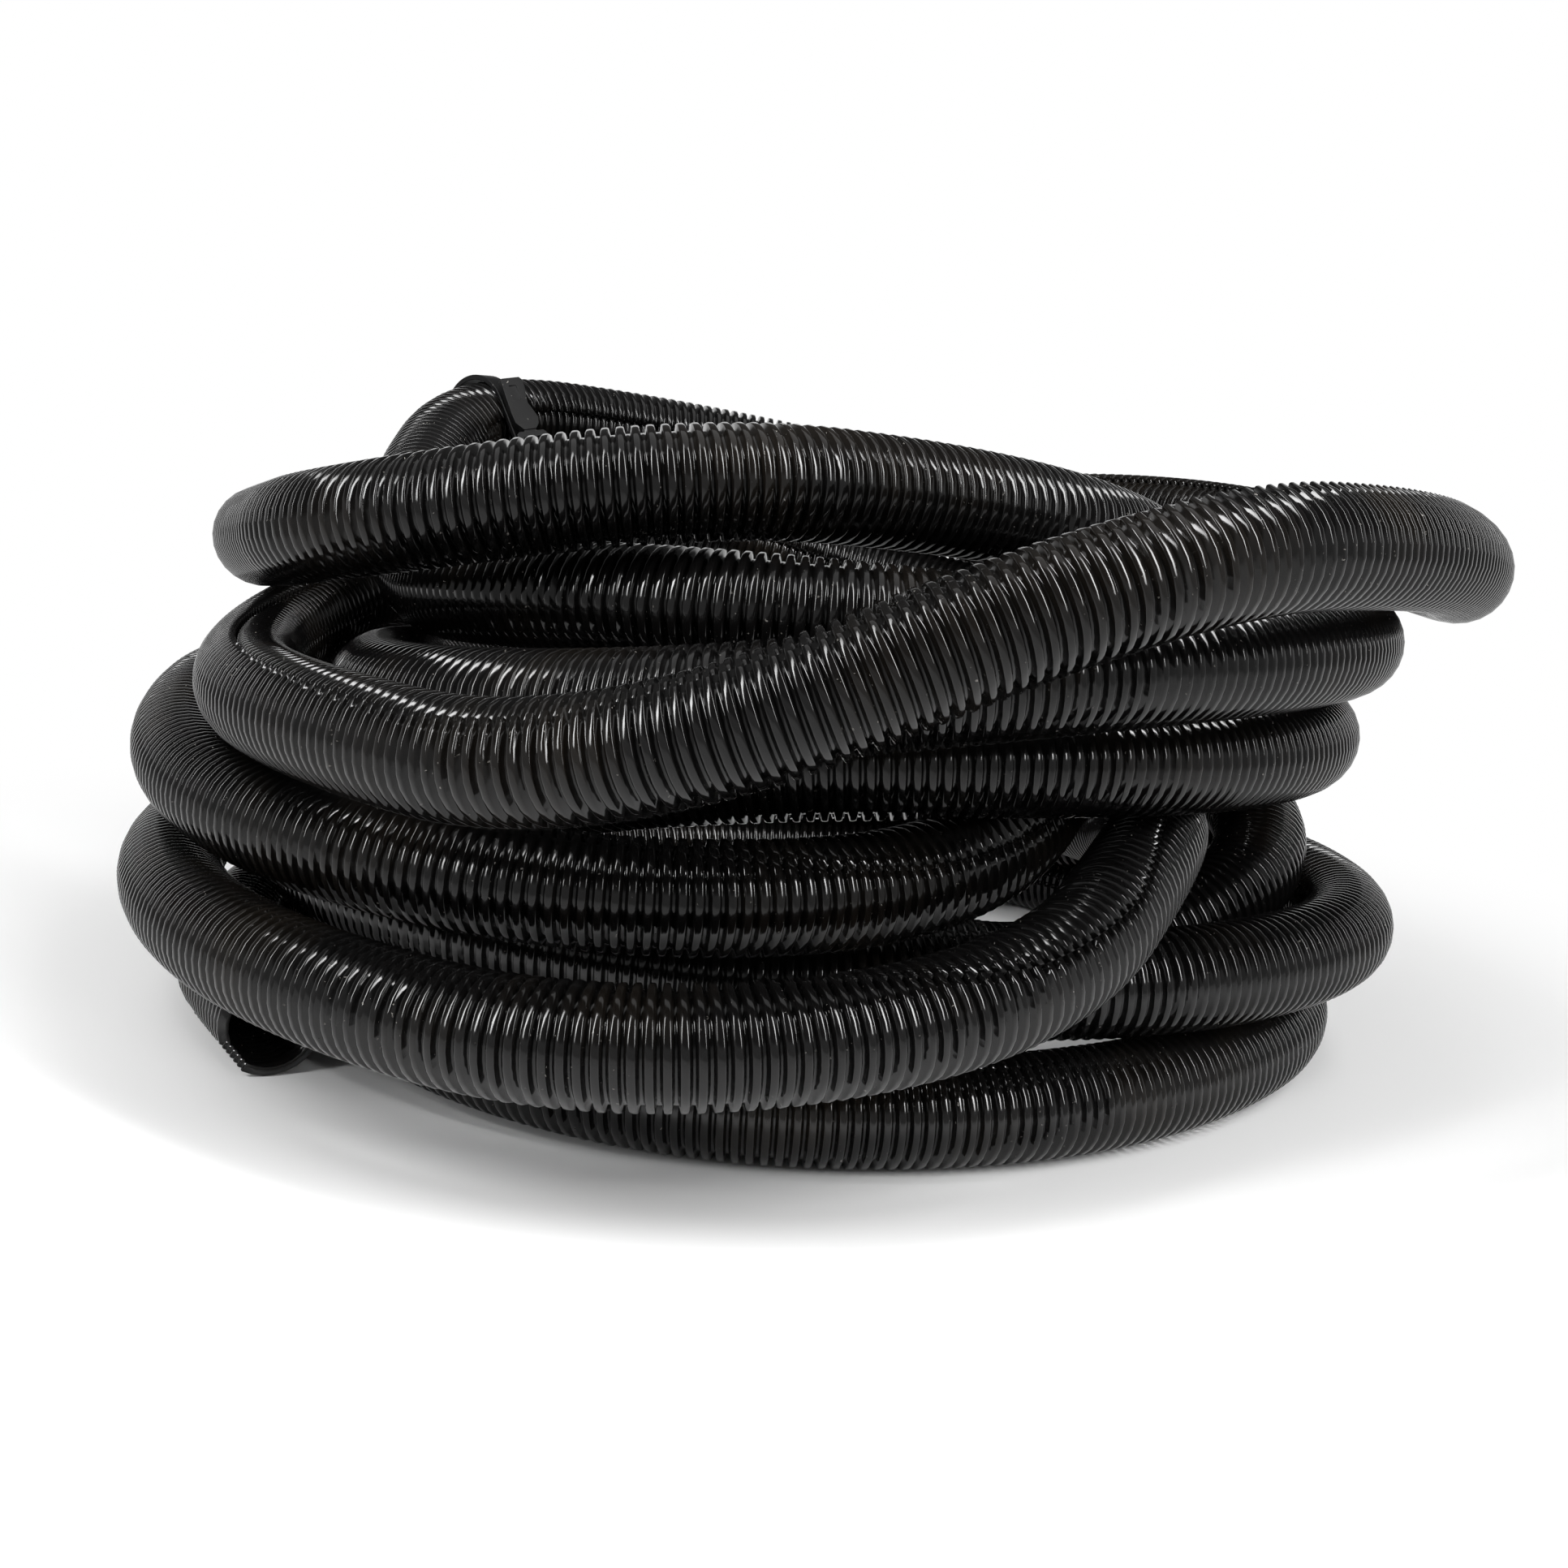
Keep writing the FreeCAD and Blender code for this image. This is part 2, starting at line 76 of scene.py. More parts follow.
# How the turns settle beside and on each other
settling_rounds = 400
pair_rounds = 20
pair_margin = 0.008
same_turn_degrees = 200.0
drawn_back_rounds = 330
front_share = 0.95
back_share = 0.998
front_from_degrees = 190.0
front_to_degrees = 350.0
push_share = 1.2
neighbour_share = 0.08
outward_share = 0.125

# Each turn starts at the tie and runs clockwise seen from above.
# A row is (compass direction, reach from the middle in millimetres, row above the floor).
turns = [
    ("start", [(230.5, 192, 0.08), (200, 181, 0.08), (180, 178, 0.08)]),
    ("first", [(140, 177, 0.17), (90, 180, 0), (45, 179, 0), (0, 172, 0), (300, 150, 0), (270, 149, 0),
               (200, 143, 0), (170, 143, 0)]),
    ("second", [(140, 145, 0.17), (90, 147, 0.10), (45, 165, 0.90), (0, 181, 1.03), (320, 158, 0.98),
                (300, 140, 0.95), (270, 135, 0.92), (180, 148, 1.03)]),
    ("third", [(140, 145, 1.12), (90, 147, 1.15), (45, 133, 1.33), (0, 117, 1.55), (345, 119, 1.9),
               (325, 132, 1.95), (300, 160, 1.4), (270, 209, 0.92), (180, 184, 1.03)]),
    ("fourth", [(140, 177, 1.12), (90, 178, 1.18), (45, 176, 1.86), (0, 166, 1.93), (345, 152, 1.2),
                (325, 122, 0.8), (300, 104, 0.92), (270, 100, 1.1), (180, 108, 1.4), (160, 124, 1.87),
                (150, 132, 2.12)]),
    ("fifth", [(140, 143, 2.14), (90, 147, 2.1), (45, 134, 2.32), (0, 116, 2.58), (345, 111, 2.78),
               (325, 110, 2.76), (300, 130, 2.2), (285, 150, 2.0), (270, 168, 1.94), (180, 191, 2.22),
               (166, 190, 2.36)]),
    ("sixth", [(140, 186, 2.04), (90, 180, 2.18), (45, 178, 2.85), (0, 166, 2.9), (300, 150, 3.05),
               (270, 145, 3.0), (250, 142, 2.6), (225, 136, 2.2), (210, 136, 2.05), (180, 136, 1.95),
               (170, 138, 2.3), (155, 149, 3.16)]),
    ("seventh", [(140, 173, 3.33), (90, 184, 3.2), (45, 178, 3.72), (0, 177, 3.82), (320, 178, 3.95),
                 (298, 182, 3.98), (285, 182, 3.72), (270, 182, 3.5), (255, 178, 3.3), (245, 172, 3.14),
                 (225, 155, 2.96), (210, 140, 2.88), (195, 124, 2.78), (180, 108, 2.62), (160, 124, 2.78)]),
    ("eighth", [(140, 141, 3.1), (115, 166, 3.5), (90, 182, 4.1), (45, 196, 4.7), (0, 198, 4.58),
                (335, 200, 4.74), (310, 206, 5.02), (294, 218, 4.92), (285, 226, 4.55), (270, 230, 3.64),
                (258, 225, 3.09), (245, 213, 2.9), (225, 192, 2.9), (200, 172, 2.8), (180, 158, 2.75),
                (170, 157, 3.1), (160, 154, 3.4), (150, 143, 3.6)]),
    ("ninth", [(140, 138, 3.95), (115, 138, 3.98), (90, 144, 3.6), (60, 142, 3.35), (45, 140, 3.3),
               (0, 132, 3.42), (300, 138, 3.9), (270, 141, 4.0), (250, 140, 3.92), (225, 130, 3.75),
               (210, 122, 3.65), (180, 124, 3.6), (170, 134, 4.25), (155, 150, 4.97)]),
    ("tenth", [(140, 160, 5.07), (90, 160, 4.85), (70, 152, 4.55), (45, 138, 4.35), (0, 116, 4.35),
               (320, 110, 4.72), (290, 114, 4.93), (270, 128, 4.97), (255, 153, 4.88), (240, 172, 4.55),
               (220, 174, 4.12), (195, 164, 3.78), (164, 185, 3.5)]),
]
first_degrees = -60.0
last_degrees = 9 * 360.0 + 300.0

# How the slit lies on each turn. A row is (compass direction, side that it faces, how wide it opens, how far
# its edges lie apart outwards, how far its ribs are out of step). Sides: 0 outwards, 90 up, 180 inwards.
slits = {
    "start": [(221, 322, 46, 0.02, 0.2), (212, 320, 26, 0.02, 0.2), (203, 316, 4, 0.04, 0.1),
              (180, 290, -5, 0.08, 0.0)],
    "first": [(140, 200, -5, 0.08, 0.2), (0, 150, -5, 0.08, 0.4), (310, 95, -4, 0.06, 0.5),
              (295, 72, -3, 0.05, 0.5), (280, 78, -4, 0.06, 0.4), (265, 95, -5, 0.08, 0.3),
              (235, 150, -5, 0.08, 0.0), (180, 190, -5, 0.08, 0.0)],
    "second": [(140, 200, -5, 0.08, 0.0), (0, 150, -5, 0.08, 0.2), (275, 92, -5, 0.08, 0.4),
               (262, 70, -4, 0.07, 0.4), (245, 50, -4, 0.07, 0.3), (225, 50, -4, 0.07, 0.2),
               (180, 80, -5, 0.08, 0.0)],
    "third": [(140, 170, -5, 0.08, 0.0), (0, 120, -4, 0.05, 0.4), (325, 78, 0, 0.02, 0.5),
              (310, 62, 0, 0.02, 0.5), (300, 44, 0, 0.02, 0.5), (290, 42, 0, 0.02, 0.5),
              (278, 78, -2, 0.03, 0.4), (265, 115, -4, 0.06, 0.2), (240, 170, -5, 0.08, 0.0),
              (180, 200, -5, 0.08, 0.0)],
    "fourth": [(140, 190, -5, 0.08, 0.0), (0, 170, -5, 0.08, 0.0), (180, 160, -5, 0.08, 0.0)],
    "fifth": [(140, 150, -5, 0.08, 0.0), (0, 110, -5, 0.08, 0.2), (305, 24, -3, 0.05, 0.4),
              (288, 27, -3, 0.05, 0.4), (278, 38, -3, 0.05, 0.4), (268, 58, -4, 0.06, 0.3),
              (255, 85, -5, 0.08, 0.2), (225, 130, -5, 0.08, 0.0), (180, 150, -5, 0.08, 0.0)],
    "sixth": [(140, 170, -5, 0.08, 0.0), (0, 170, -5, 0.08, 0.0), (180, 150, -5, 0.08, 0.0)],
    "seventh": [(140, 120, -5, 0.08, 0.0), (20, 66, -5, 0.08, 0.3), (0, 66, -5, 0.08, 0.3),
                (335, 84, -5, 0.08, 0.3), (300, 130, -5, 0.08, 0.0), (270, 150, -5, 0.08, 0.0),
                (180, 150, -5, 0.08, 0.0)],
    "eighth": [(140, 150, -6, 0.10, 0.0), (45, 110, -7, 0.12, 0.1), (0, 84, -8, 0.15, 0.2),
               (325, 75, -8, 0.16, 0.3), (308, 78, -8, 0.17, 0.4), (295, 80, -8, 0.17, 0.5),
               (287, 72, -8, 0.17, 0.4), (279, 62, -8, 0.16, 0.3), (270, 64, -7, 0.14, 0.2),
               (263, 56, -7, 0.14, 0.2), (255, 43, -7, 0.14, 0.2), (238, 50, -7, 0.14, 0.2),
               (225, 60, -7, 0.14, 0.3), (212, 74, -6, 0.12, 0.2), (180, 110, -5, 0.08, 0.0)],
    "ninth": [(140, 150, -5, 0.08, 0.0), (0, 170, -5, 0.08, 0.0), (180, 170, -5, 0.08, 0.0)],
    "tenth": [(140, 160, -5, 0.08, 0.0), (0, 190, -5, 0.08, 0.0), (270, 200, -5, 0.08, 0.0),
              (164, 190, 0, 0.02, 0.0)],
}


def settled_rows():
    """Return (angle travelled past the tie, reach, height) for every row of every turn."""
    rows_found = []
    for number, (name, rows) in enumerate(turns):
        for direction, reach, row in rows:
            travelled = (number - 1) * 360.0 + (tie_direction - direction) % 360.0
            rows_found.append((travelled, reach / 1000.0, first_row + row * row_height))
    return rows_found


def slopes(places, values):
    """Return one slope per row, so that a cubic through the rows doesn't overshoot them."""
    rises = [(values[i + 1] - values[i]) / (places[i + 1] - places[i]) for i in range(len(places) - 1)]
    result = [rises[0]]
    for i in range(1, len(places) - 1):
        before, after = rises[i - 1], rises[i]
        if before * after <= 0.0:
            result.append(0.0)
            continue
        left, right = places[i] - places[i - 1], places[i + 1] - places[i]
        slope = (after * left + before * right) / (left + right)
        limit = steepest_share * min(abs(before), abs(after))
        result.append(math.copysign(min(abs(slope), limit), slope))
    result.append(rises[-1])
    return result


def cubic_value(places, values, tilts, place):
    i = 0
    while i < len(places) - 2 and places[i + 1] < place:
        i += 1
    span = places[i + 1] - places[i]
    t = (place - places[i]) / span
    return (values[i] * (1 + 2 * t) * (1 - t) ** 2 + tilts[i] * span * t * (1 - t) ** 2
            + values[i + 1] * t * t * (3 - 2 * t) + tilts[i + 1] * span * t * t * (t - 1))


def first_nodes():
    """Return the points of the route, one every node_degrees, and the angle of each."""
    rows = settled_rows()
    places, reaches, heights = ([row[k] for row in rows] for k in range(3))
    reach_tilts, height_tilts = slopes(places, reaches), slopes(places, heights)
    travelled = math.ceil(places[0] / node_degrees) * node_degrees
    nodes, angles = [], []
    while travelled <= places[-1]:
        reach = cubic_value(places, reaches, reach_tilts, travelled)
        height = cubic_value(places, heights, height_tilts, travelled)
        direction = math.radians(tie_direction - travelled)
        nodes.append([reach * math.cos(direction), reach * math.sin(direction), height])
        angles.append(travelled)
        travelled += node_degrees
    return nodes, angles


def between_points(nodes):
    """Return points along a smooth curve through the nodes, each with its node and share of the way on."""
    points = []
    for i in range(len(nodes) - 1):
        group = (nodes[max(i - 1, 0)], nodes[i], nodes[i + 1], nodes[min(i + 2, len(nodes) - 1)])
        for quarter in range(4):
            u = quarter / 4.0
            weights = (-u / 2 + u * u - u ** 3 / 2, 1 - 2.5 * u * u + 1.5 * u ** 3,
                       u / 2 + 2 * u * u - 1.5 * u ** 3, -u * u / 2 + u ** 3 / 2)
            x, y, z = (sum(w * p[k] for w, p in zip(weights, group)) for k in range(3))
            points.append((x, y, z, i, u))
    return points


def near_pairs(points, reach):
    """Return the pairs of points of different turns that are nearer than reach."""
    pairs = []
    for a, (ax, ay, az, ai, au) in enumerate(points):
        for b in range(a + 1, len(points)):
            bx, by, bz, bi, bu = points[b]
            if bi - ai < same_turn_degrees / node_degrees or abs(ax - bx) > reach or abs(ay - by) > reach:
                continue
            if math.dist((ax, ay, az), (bx, by, bz)) < reach:
                pairs.append((a, b))
    return pairs


def settle(nodes, angles):
    """Move the nodes apart until the turns lie beside and on each other without touching."""
    want = hose_diameter + turn_clearance
    start = [list(node) for node in nodes]
    shift = [[0.0, 0.0, 0.0] for node in nodes]
    pairs = []
    for turn in range(settling_rounds):
        points = between_points([[start[i][k] + shift[i][k] for k in range(3)] for i in range(len(start))])
        if turn % pair_rounds == 0:
            pairs = near_pairs(points, want + pair_margin)
        push = [[0.0, 0.0, 0.0, 0.0] for node in nodes]
        for a, b in pairs:
            ax, ay, az, ai, au = points[a]
            bx, by, bz, bi, bu = points[b]
            apart = math.dist((ax, ay, az), (bx, by, bz))
            if apart >= want:
                continue
            half = (want - apart) / 2.0 / max(apart, 1e-9)
            step = ((ax - bx) * half, (ay - by) * half, (az - bz) * half)
            for owner, weight, sign in ((ai, 1 - au, 1), (ai + 1, au, 1), (bi, 1 - bu, -1), (bi + 1, bu, -1)):
                for k in range(3):
                    push[owner][k] += sign * weight * step[k]
                push[owner][3] += weight
        for i, moved in enumerate(push):
            for k in range(3):
                shift[i][k] += push_share * moved[k] / max(moved[3], 1.0)
        old = [list(s) for s in shift]
        for i in range(1, len(shift) - 1):
            for k in range(3):
                shift[i][k] = ((1.0 - 2.0 * neighbour_share) * old[i][k]
                               + neighbour_share * (old[i - 1][k] + old[i + 1][k]))
        for i in range(len(shift)):
            if turn < drawn_back_rounds:
                direction = (tie_direction - angles[i]) % 360.0
                share = front_share if front_from_degrees <= direction <= front_to_degrees else back_share
                shift[i] = [share * value for value in shift[i]]
            lowest = strap_level if angles[i] % 360.0 == 0.0 else floor_level
            shift[i][2] = max(shift[i][2], lowest - start[i][2])
    return [Vector([start[i][k] + shift[i][k] for k in range(3)]) + pile_centre for i in range(len(start))]


# Camera, at the photograph's angle
camera_place = Vector((0.0, -0.656, 0.200))
camera_looks_down = 11.0
camera_roll = 4.6
camera_data = bpy.data.cameras.new("photo_camera")
camera_data.lens = 46.58
camera_data.sensor_width = 36.0
camera_data.clip_start = 0.01
camera_data.clip_end = 50.0
camera = bpy.data.objects.new("photo_camera", camera_data)
bpy.context.scene.collection.objects.link(camera)
camera.matrix_world = (Matrix.Translation(camera_place + pile_centre)
                       @ Matrix.Rotation(math.radians(90.0 - camera_looks_down), 4, "X")
                       @ Matrix.Rotation(math.radians(camera_roll), 4, "Z"))
bpy.context.scene.camera = camera
bpy.context.scene.view_settings.view_transform = "Standard"


def link(name, data):
    """Return a new object of the data, in the scene."""
    made = bpy.data.objects.new(name, data)
    bpy.context.scene.collection.objects.link(made)
    return made


# The hose's route. Its control points lie a little outside the turns, because the smooth line runs inside.
nodes, angles = first_nodes()
nodes = settle(nodes, angles)
first, last = angles.index(first_degrees), angles.index(last_degrees)
start_run = nodes[first] - nodes[first - 1]
start_run.z = 0.0
start_run.normalize()
end_run = (nodes[last + 1] - nodes[last]).normalized()
lower_mouth = nodes[first] - start_run * (coil_lead + ribbed_end)
upper_mouth = nodes[last] + end_run * (coil_lead + ribbed_end)
turn_nodes = nodes[first:last + 1]
controls = [upper_mouth, upper_mouth - end_run * coil_lead]
for i in range(len(turn_nodes) - 1, -1, -1):
    here = turn_nodes[i]
    before = turn_nodes[i - 1] if i > 0 else here
    after = turn_nodes[i + 1] if i < len(turn_nodes) - 1 else here
    if i in (0, len(turn_nodes) - 1):
        controls.append(here)
    else:
        controls.append(here + (here * 2.0 - before - after) * outward_share)
controls += [lower_mouth + start_run * coil_lead, lower_mouth]


def nurbs_line(name, points):
    """Return a smooth open curve with these control points."""
    curve = bpy.data.curves.new(name, "CURVE")
    curve.dimensions = "3D"
    spline = curve.splines.new("NURBS")
    spline.points.add(len(points) - 1)
    for point, place in zip(spline.points, points):
        point.co = (*place, 1.0)
    spline.order_u = 3
    spline.use_endpoint_u = True
    return curve


route_curve = nurbs_line("hose_route", controls)
route_curve.resolution_u = 48
route_object = link("hose_route", route_curve)
bpy.context.view_layer.update()
depsgraph = bpy.context.evaluated_depsgraph_get()
route_mesh = bpy.data.meshes.new_from_object(route_object.evaluated_get(depsgraph))
route_points = [Vector(vertex.co) for vertex in route_mesh.vertices]
bpy.data.objects.remove(route_object)
route_points.reverse()
route_length = sum((b - a).length for a, b in zip(route_points, route_points[1:]))


def slit_along(points):
    """Return the slit's side, opening, lift and shift at every point of the route."""
    rows = []
    for number, (name, keys) in enumerate(turns):
        for direction, side, opening, lift, shift in slits[name]:
            travelled = (number - 1) * 360.0 + (tie_direction - direction) % 360.0
            rows.append((travelled, math.radians(side) + math.pi, math.radians(opening), lift,
                         shift * rib_pitch))
    places = [row[0] for row in rows]
    columns = [[row[k] for row in rows] for k in range(1, 5)]
    tilts = [slopes(places, column) for column in columns]
    result, travelled, previous = [], None, None
    for point in points:
        flat = point - pile_centre
        direction = math.degrees(math.atan2(flat.y, flat.x))
        if travelled is None:
            travelled = -(direction % 360.0 - tie_direction)
        else:
            travelled += (previous - direction + 180.0) % 360.0 - 180.0
        previous = direction
        place = min(max(travelled, places[0]), places[-1])
        result.append([cubic_value(places, column, tilt, place) for column, tilt in zip(columns, tilts)])
    return result


def hose_tree(material):
    """Return the node tree that makes a ribbed, slit tube along a line."""
    tree = bpy.data.node_groups.new("Ribbed split hose", "GeometryNodeTree")
    tree.interface.new_socket("Line", in_out="INPUT", socket_type="NodeSocketGeometry")
    for name, value in (("From", 0.0), ("To", 0.1), ("Crest radius", tube_radius), ("Rib height", rib_height),
                        ("Rib pitch", rib_pitch)):
        socket = tree.interface.new_socket(name, in_out="INPUT", socket_type="NodeSocketFloat")
        socket.default_value = value
    for name, value in (("Ribs", 10), ("Sides", sides_around)):
        socket = tree.interface.new_socket(name, in_out="INPUT", socket_type="NodeSocketInt")
        socket.default_value = value
    tree.interface.new_socket("Hose", in_out="OUTPUT", socket_type="NodeSocketGeometry")
    new, join = tree.nodes.new, tree.links.new
    given, out = new("NodeGroupInput"), new("NodeGroupOutput")

    def calculate(operation, *values):
        node = new("ShaderNodeMath")
        node.operation = operation
        for i, value in enumerate(values):
            if isinstance(value, (int, float)):
                node.inputs[i].default_value = value
            else:
                join(value, node.inputs[i])
        return node.outputs[0]

    def vectors(operation, first, second=None, scale=None):
        node = new("ShaderNodeVectorMath")
        node.operation = operation
        join(first, node.inputs[0])
        if second is not None:
            join(second, node.inputs[1])
        if scale is not None:
            join(scale, node.inputs["Scale"])
        return node.outputs["Vector"]

    def named(name):
        node = new("GeometryNodeInputNamedAttribute")
        node.data_type = "FLOAT"
        node.inputs["Name"].default_value = name
        return node.outputs["Attribute"]

    def capture(geometry, *items):
        node = new("GeometryNodeCaptureAttribute")
        join(geometry, node.inputs["Geometry"])
        for kind, name, value in items:
            node.capture_items.new(kind, name)
            join(value, node.inputs[name])
        return node

    def by_ring(values):
        """Return the value of the ring that a point of the line makes."""
        index = new("GeometryNodeInputIndex")
        ring = new("FunctionNodeIntegerMath")
        ring.operation = "MODULO"
        ring.inputs[1].default_value = len(values)
        join(index.outputs[0], ring.inputs[0])
        node = new("GeometryNodeIndexSwitch")
        node.data_type = "FLOAT"
        while len(node.index_switch_items) < len(values):
            node.index_switch_items.new()
        join(ring.outputs[0], node.inputs["Index"])
        for i, value in enumerate(values):
            node.inputs[i + 1].default_value = value
        return node.outputs[0]

    # The run of line that this piece covers, with the same rings for every rib
    line = new("GeometryNodeMeshToCurve")
    join(given.outputs["Line"], line.inputs["Mesh"])
    part = new("GeometryNodeTrimCurve")
    part.mode = "LENGTH"
    join(line.outputs["Curve"], part.inputs["Curve"])
    join(given.outputs["From"], part.inputs[4])
    join(given.outputs["To"], part.inputs[5])
    even = new("GeometryNodeResampleCurve")
    join(part.outputs["Curve"], even.inputs["Curve"])
    rings = calculate("MULTIPLY", given.outputs["Ribs"], len(rib_outline))
    join(calculate("ADD", rings, 1), even.inputs["Count"])
    upright = new("GeometryNodeSetCurveNormal")
    upright.mode = "Z_UP"
    join(even.outputs["Curve"], upright.inputs["Curve"])
    turned = new("GeometryNodeSetCurveTilt")
    join(upright.outputs["Curve"], turned.inputs["Curve"])
    join(named("slit_side"), turned.inputs["Tilt"])
    middle, heading, travelled = (new("GeometryNodeInputPosition"), new("GeometryNodeInputTangent"),
                                  new("GeometryNodeSplineParameter"))
    steps = [share - i / len(rib_outline) for i, (share, below) in enumerate(rib_outline)]
    ring_step = calculate("MULTIPLY", by_ring(steps), given.outputs["Rib pitch"])
    rail = capture(turned.outputs["Curve"], ("VECTOR", "Middle", middle.outputs[0]),
                   ("VECTOR", "Heading", heading.outputs[0]), ("FLOAT", "Opening", named("slit_opening")),
                   ("FLOAT", "Lift", named("slit_lift")), ("FLOAT", "Shift", named("slit_shift")),
                   ("FLOAT", "Travelled", travelled.outputs["Length"]), ("FLOAT", "Step", ring_step))

    # A rib's outline, and how far each ring lies from its even place along the hose
    depths = by_ring([below for share, below in rib_outline])
    drop = calculate("MULTIPLY", depths, given.outputs["Rib height"])
    radius = calculate("SUBTRACT", given.outputs["Crest radius"], drop)

    # The outline round the hose, from one edge of the slit to the other
    arc = new("GeometryNodeCurveArc")
    join(calculate("ADD", given.outputs["Sides"], 1), arc.inputs["Resolution"])
    arc.inputs["Radius"].default_value = 1.0
    arc.inputs["Start Angle"].default_value = 0.0
    arc.inputs["Sweep Angle"].default_value = 2.0 * math.pi - slit_gap_radians
    around = new("GeometryNodeSplineParameter")
    outline = capture(arc.outputs["Curve"], ("FLOAT", "Around", around.outputs["Factor"]))
    skin = new("GeometryNodeCurveToMesh")
    join(rail.outputs["Geometry"], skin.inputs["Curve"])
    join(outline.outputs["Geometry"], skin.inputs["Profile Curve"])
    join(radius, skin.inputs["Scale"])

    # The slit's edges move apart or over each other, and out of step along the hose
    share = outline.outputs["Around"]
    side = calculate("SUBTRACT", share, 0.5)
    close = calculate("POWER", calculate("ABSOLUTE", calculate("MULTIPLY", side, 2.0)), slit_edge_sharpness)
    raised = calculate("MULTIPLY", calculate("SIGN", side), close)
    lifted = calculate("MULTIPLY", raised, rail.outputs["Lift"])
    sunk = calculate("MINIMUM", lifted, calculate("MULTIPLY", lifted, slit_sunk_share))
    here = new("GeometryNodeInputPosition")
    spoke = vectors("SUBTRACT", here.outputs[0], rail.outputs["Middle"])
    swing = new("ShaderNodeVectorRotate")
    swing.rotation_type = "AXIS_ANGLE"
    join(spoke, swing.inputs["Vector"])
    join(rail.outputs["Heading"], swing.inputs["Axis"])
    turned_back = calculate("MULTIPLY", side, -1.0)
    join(calculate("MULTIPLY", turned_back, rail.outputs["Opening"]), swing.inputs["Angle"])
    grown = vectors("SCALE", swing.outputs["Vector"], scale=calculate("ADD", 1.0, sunk))
    along = calculate("ADD", calculate("MULTIPLY", side, rail.outputs["Shift"]), rail.outputs["Step"])
    slid = vectors("SCALE", rail.outputs["Heading"], scale=along)
    place = vectors("ADD", vectors("ADD", rail.outputs["Middle"], grown), slid)
    moved = new("GeometryNodeSetPosition")
    join(skin.outputs["Mesh"], moved.inputs["Geometry"])
    join(place, moved.inputs["Position"])

    # A flat map of the surface, in metres: along the hose and around it
    flat = new("ShaderNodeCombineXYZ")
    measured = calculate("ADD", rail.outputs["Travelled"], rail.outputs["Step"])
    join(calculate("ADD", measured, given.outputs["From"]), flat.inputs["X"])
    join(calculate("MULTIPLY", share, math.pi * hose_diameter), flat.inputs["Y"])
    surface_map = new("GeometryNodeStoreNamedAttribute")
    surface_map.data_type = "FLOAT2"
    surface_map.domain = "CORNER"
    surface_map.inputs["Name"].default_value = "hose_surface"
    join(moved.outputs["Geometry"], surface_map.inputs["Geometry"])
    join(flat.outputs["Vector"], surface_map.inputs["Value"])
    smooth = new("GeometryNodeSetShadeSmooth")
    join(surface_map.outputs["Geometry"], smooth.inputs["Geometry"])
    real = new("GeometryNodeRealizeInstances")
    join(smooth.outputs["Geometry"], real.inputs["Geometry"])
    finish = new("GeometryNodeSetMaterial")
    finish.inputs["Material"].default_value = material
    join(real.outputs["Geometry"], finish.inputs["Geometry"])
    join(finish.outputs["Geometry"], out.inputs["Hose"])
    return tree


def set_input(modifier, name, value):
    for item in modifier.node_group.interface.items_tree:
        if item.name == name and item.in_out == "INPUT":
            modifier[item.identifier] = value


# Materials: the sizes of their patches, the scratches along the ribs and the dust
patch_size, warmth_size, dust_size, dirt_size = 0.028, 0.045, 0.0011, 0.02
grain_strength = 0.2
scratches_per_metre = (4200.0, 45.0, 1.0)
scratch_strength = 0.25
scratch_depth = 0.000004
dust_colour = (0.20, 0.19, 0.175)


